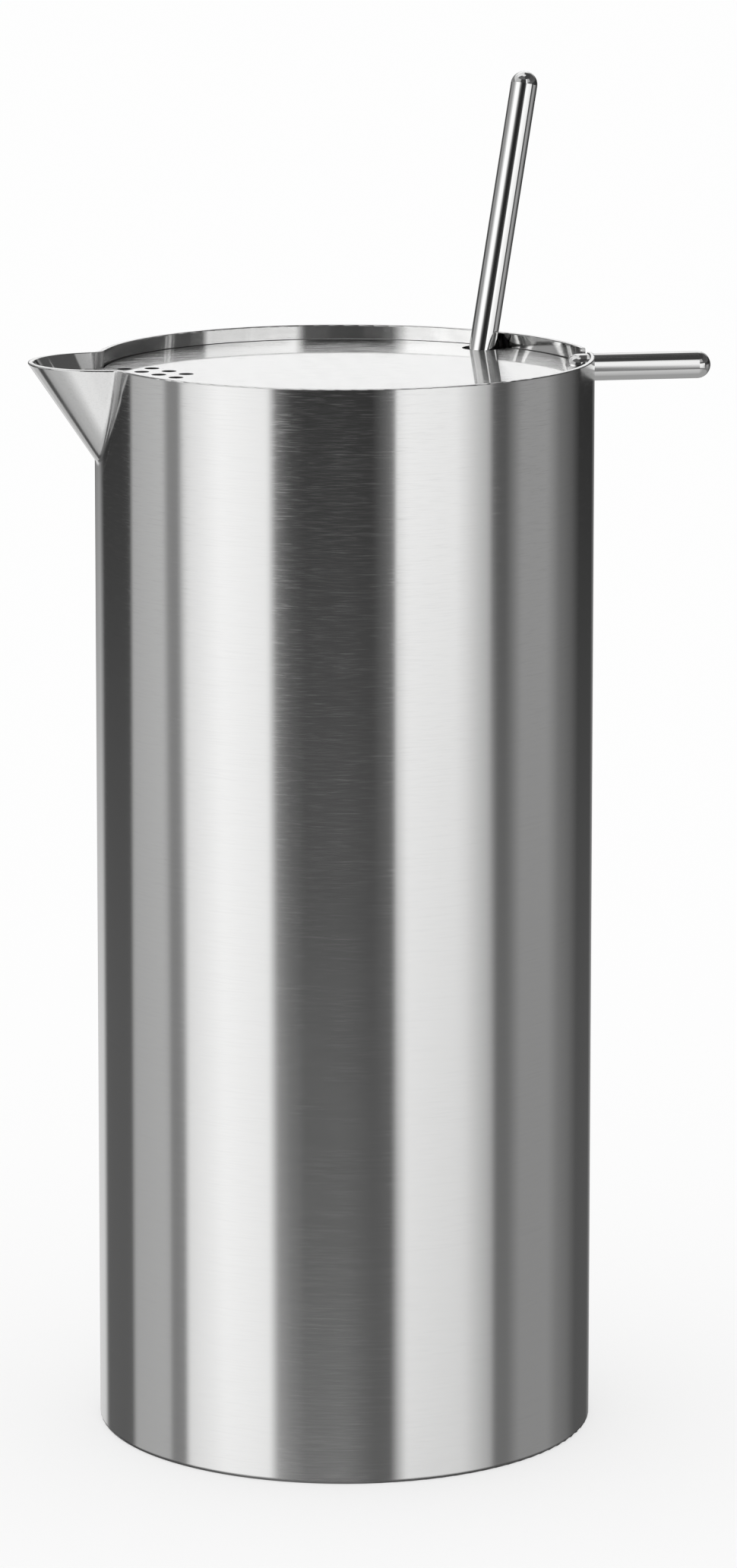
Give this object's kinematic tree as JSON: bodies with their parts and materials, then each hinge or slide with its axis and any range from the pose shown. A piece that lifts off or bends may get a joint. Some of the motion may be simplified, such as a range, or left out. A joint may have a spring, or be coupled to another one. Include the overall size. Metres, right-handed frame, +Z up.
{
  "type": "cocktail pitcher",
  "caption": "Slim cylindrical steel cocktail pitcher with a cone spout, a lift-off strainer lid held by a short bar handle, and a leaning mixing spoon.",
  "frame": {"origin": "centre of the foot, on the table", "axes": "+Z up along the tube, +X towards the lid's bar handle, -X towards the spout"},
  "size_m": [0.1386, 0.1, 0.2711],
  "materials": {
    "satin_steel": "satin, brushed round the tube",
    "polished_steel": "mirror polished stainless steel"
  },
  "bodies": {
    "pitcher": {"body_tube": "satin_steel", "base_plate": "satin_steel", "spout": "polished_steel"},
    "lid": {"strainer_lid": "polished_steel", "lid_handle": "polished_steel"},
    "spoon": {"spoon_stem": "polished_steel", "spoon_bowl": "polished_steel"}
  },
  "joints": [
    {"name": "lid_lift", "type": "slide", "parent": "pitcher", "child": "lid", "axis": [0, 0, 1], "range_m": [0, 0.07]},
    {"name": "spoon_lift", "type": "slide", "parent": "pitcher", "child": "spoon", "axis": [0.1877, 0.1632, 0.9686], "range_m": [0, 0.15]}
  ]
}
